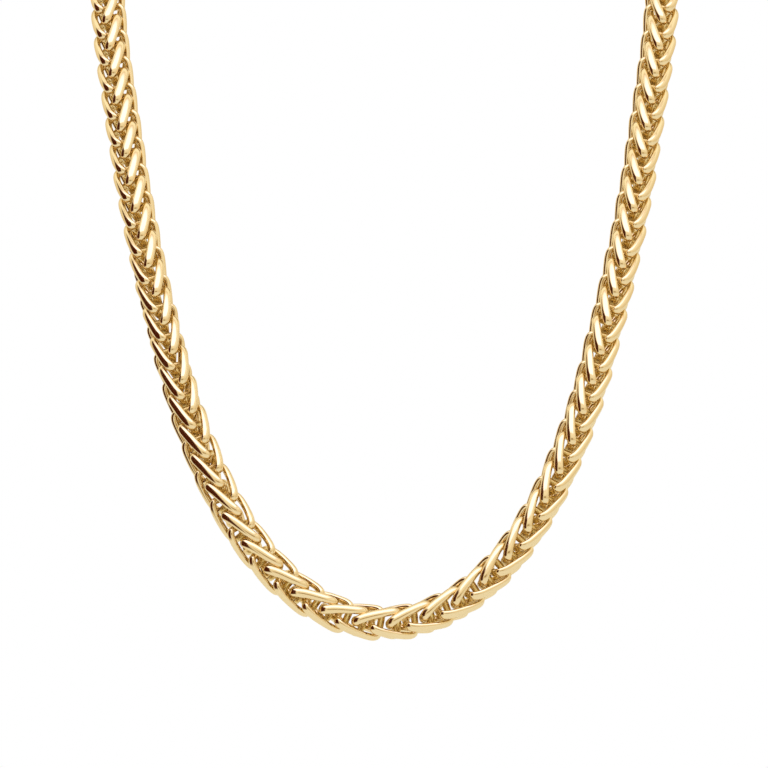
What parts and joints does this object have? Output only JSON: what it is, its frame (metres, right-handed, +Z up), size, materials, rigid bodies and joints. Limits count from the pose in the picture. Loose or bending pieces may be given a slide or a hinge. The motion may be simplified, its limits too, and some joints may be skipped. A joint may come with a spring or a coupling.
{
  "type": "wheat chain necklace",
  "caption": "Closed necklace of twisted oval wire links hooked into a square wheat pattern, hanging in a deep U from the nape, with a plain barrel clasp behind.",
  "frame": {"origin": "middle of the clasp at the nape, where the necklace hangs on the neck", "axes": "+Z up, -Y towards the front of the wearer, +X towards the right strand as seen from the front"},
  "size_m": [0.1224, 0.1027, 0.1737],
  "materials": {
    "gold": "polished yellow gold"
  },
  "bodies": {
    "root": {"chain_left": "gold", "chain_right": "gold", "clasp": "gold"}
  },
  "joints": []
}
